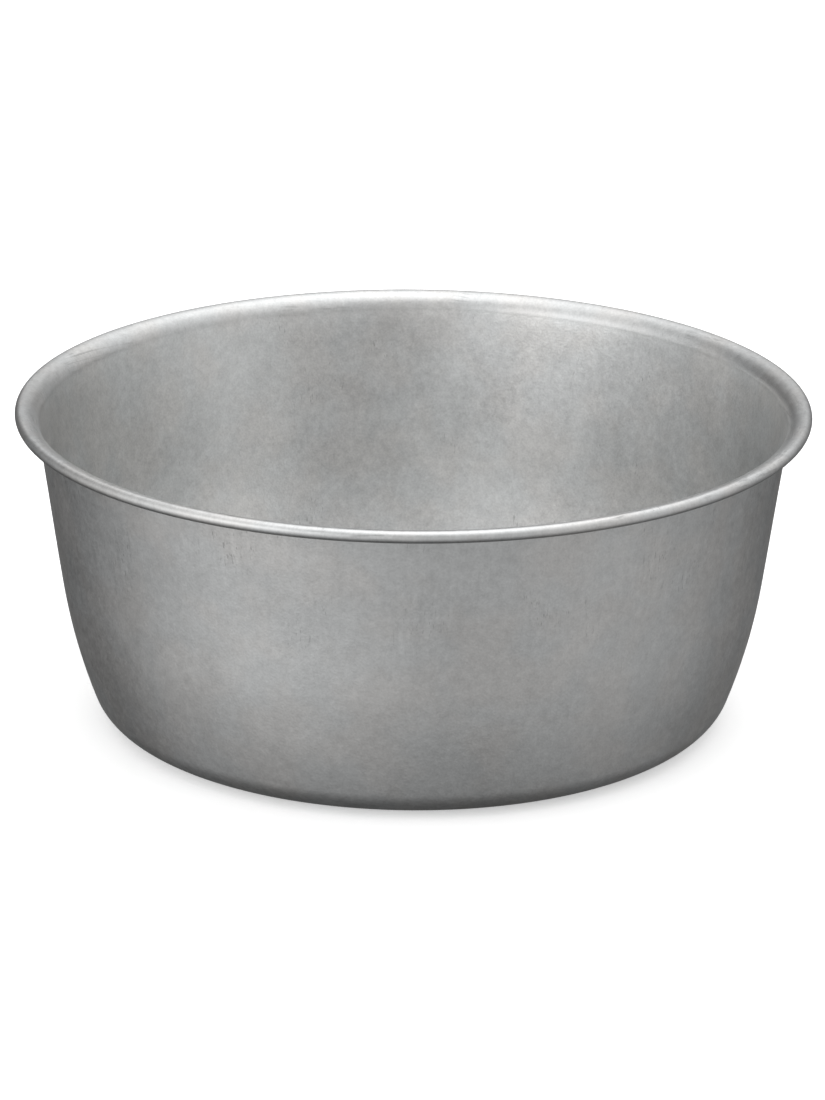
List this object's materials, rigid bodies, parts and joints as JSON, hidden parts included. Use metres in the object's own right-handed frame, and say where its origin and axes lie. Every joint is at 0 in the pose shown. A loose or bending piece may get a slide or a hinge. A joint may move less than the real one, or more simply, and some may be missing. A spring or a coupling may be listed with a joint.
{
  "type": "mixing bowl",
  "caption": "Deep round mixing bowl in matte sheet steel, with a flat base, a wall that leans outwards and a flared lip rolled into a bead.",
  "frame": {"origin": "centre of the flat base, on the surface the bowl stands on", "axes": "+Z is the bowl's own axis, up out of the mouth. The bowl is round, so +X and +Y are any two level directions at right angles."},
  "size_m": [0.24, 0.24, 0.097],
  "materials": {
    "bowl_steel": "matte tumbled stainless steel, cloudy grey, with a satin bead",
    "wire_steel": "plain drawn wire, dull"
  },
  "bodies": {
    "root": {"bowl_shell": "bowl_steel", "rim_wire": "wire_steel"}
  },
  "joints": []
}
